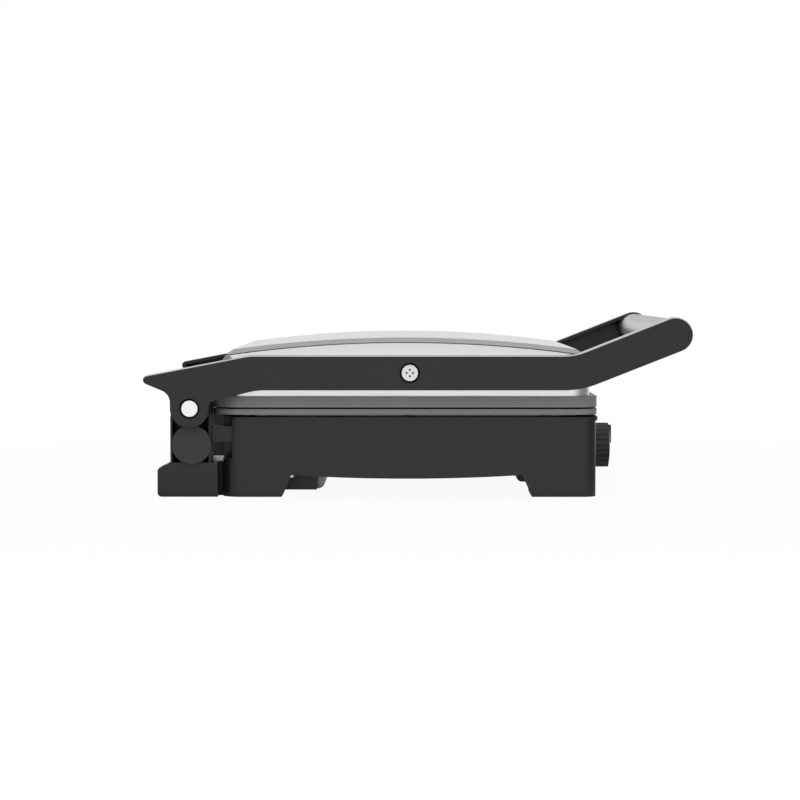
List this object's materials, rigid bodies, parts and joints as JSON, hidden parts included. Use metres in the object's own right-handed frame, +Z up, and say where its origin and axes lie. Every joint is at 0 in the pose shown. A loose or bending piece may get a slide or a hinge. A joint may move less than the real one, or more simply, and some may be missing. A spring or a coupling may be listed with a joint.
{
  "type": "contact grill",
  "caption": "Countertop contact grill: ribbed lower plate in a footed base, floating silver lid with upper plate on two side arms with a cross handle",
  "frame": {"origin": "middle of the worktop footprint, on the worktop under the rubber feet", "axes": "+X to the user's right, -Y to the front with the knob and handle, +Z up"},
  "size_m": [0.34, 0.3854, 0.1282],
  "materials": {
    "dark_plastic": "fine moulded grain, satin black",
    "knob_plastic": "satin black with flutes",
    "cap_plastic": "satin dark grey",
    "rubber": "matt black",
    "plate_coating": "dark grey non-stick coating on cast aluminium",
    "lid_silver": "bright satin silver",
    "satin_aluminium": "satin anodised",
    "bright_steel": "bright turned steel",
    "sheet_steel": "plain galvanised sheet",
    "element_steel": "heat-darkened tube",
    "tray_grey": "light grey, satin",
    "inner_plastic": "pale heat-proof moulding",
    "lens": "amber lens, clear gloss"
  },
  "bodies": {
    "base": {"base_housing": "dark_plastic", "bottom_cover": "dark_plastic", "rubber_feet": "rubber", "cover_screws": "bright_steel", "lower_reflector": "sheet_steel", "lower_heating_element": "element_steel", "lower_grill_plate": "plate_coating", "thermostat": "inner_plastic", "terminal_block": "inner_plastic", "lower_thermal_fuse": "inner_plastic", "cord_gland": "dark_plastic", "indicator_lenses": "lens", "hinge_bracket_left": "dark_plastic", "hinge_bracket_right": "dark_plastic", "hinge_cap_left": "cap_plastic", "hinge_cap_right": "cap_plastic", "bracket_screws": "bright_steel"},
    "tray": {"drip_tray": "tray_grey"},
    "knob": {"control_knob": "knob_plastic", "knob_shaft": "bright_steel"},
    "arms": {"arm_left": "dark_plastic", "arm_right": "dark_plastic", "handle_bar": "satin_aluminium", "handle_tie_rod": "sheet_steel", "hinge_pin_left": "bright_steel", "hinge_pin_right": "bright_steel", "pivot_pin_left": "bright_steel", "pivot_pin_right": "bright_steel", "hinge_washers": "sheet_steel", "retaining_rings": "sheet_steel"},
    "lid": {"lid_shell": "lid_silver", "upper_grill_plate": "plate_coating", "upper_reflector": "sheet_steel", "upper_heating_element": "element_steel", "pivot_bracket_left": "sheet_steel", "pivot_bracket_right": "sheet_steel", "lid_screws": "bright_steel", "upper_plate_clips": "sheet_steel", "upper_thermal_fuse": "inner_plastic"}
  },
  "joints": [
    {"name": "lid_hinge", "type": "hinge", "parent": "base", "child": "arms", "pos_m": [0, 0.1603, 0.0641], "axis": [-1, 0, 0], "range_deg": [0, 180]},
    {"name": "plate_tilt", "type": "hinge", "parent": "arms", "child": "lid", "pos_m": [0, 0.0056, 0.0892], "axis": [-1, 0, 0], "range_deg": [0, 6]},
    {"name": "thermostat_knob", "type": "hinge", "parent": "base", "child": "knob", "pos_m": [0, -0.138, 0.0283], "axis": [0, 1, 0], "range_deg": [0, 270]},
    {"name": "tray_slide", "type": "slide", "parent": "base", "child": "tray", "axis": [0, 1, 0], "range_m": [0, 0.12]}
  ],
  "couplings": [
    {"joint": "plate_tilt", "follows": "lid_hinge", "ratio": 0.03}
  ]
}
